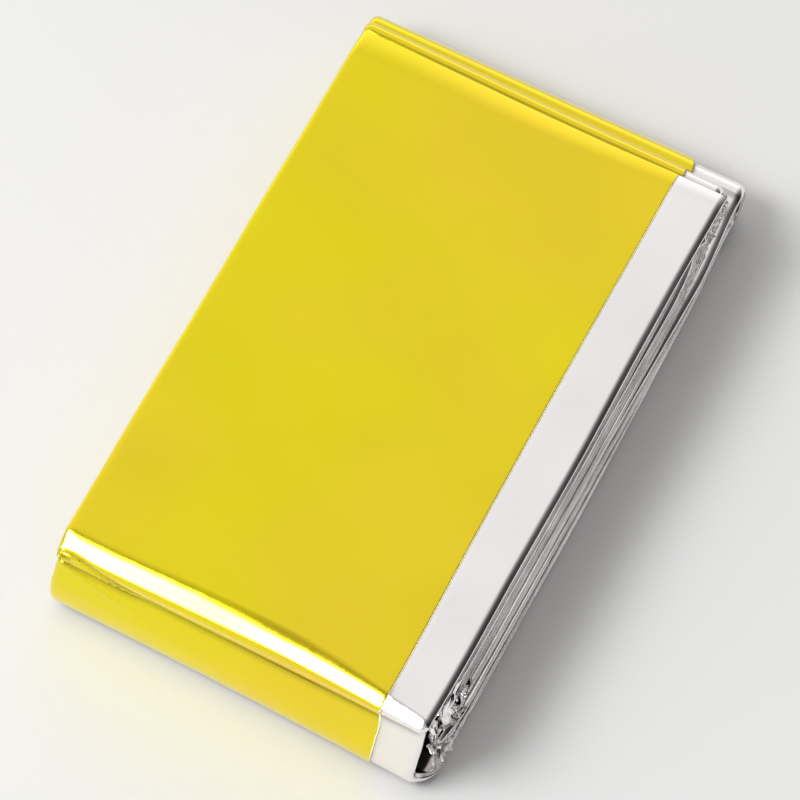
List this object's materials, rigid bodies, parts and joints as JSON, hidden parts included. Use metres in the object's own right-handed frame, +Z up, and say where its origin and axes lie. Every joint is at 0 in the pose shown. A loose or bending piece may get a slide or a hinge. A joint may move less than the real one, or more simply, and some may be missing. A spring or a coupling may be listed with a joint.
{
  "type": "emergency foil blanket",
  "caption": "Emergency foil blanket folded into a small flat pack, gold film outside with a silver strip along one long edge and layered silver folds down its side.",
  "frame": {"origin": "middle of the pack's footprint, on the surface that the pack lies on", "axes": "+X towards the long edge with the silver strip, +Y along the pack towards its stepped free ends and away from the big outer fold, +Z up from the resting face"},
  "size_m": [0.0798, 0.1372, 0.0261],
  "materials": {
    "gold_foil": "gloss",
    "silver_foil": "gloss"
  },
  "bodies": {
    "root": {"blanket": "gold_foil"}
  },
  "joints": []
}
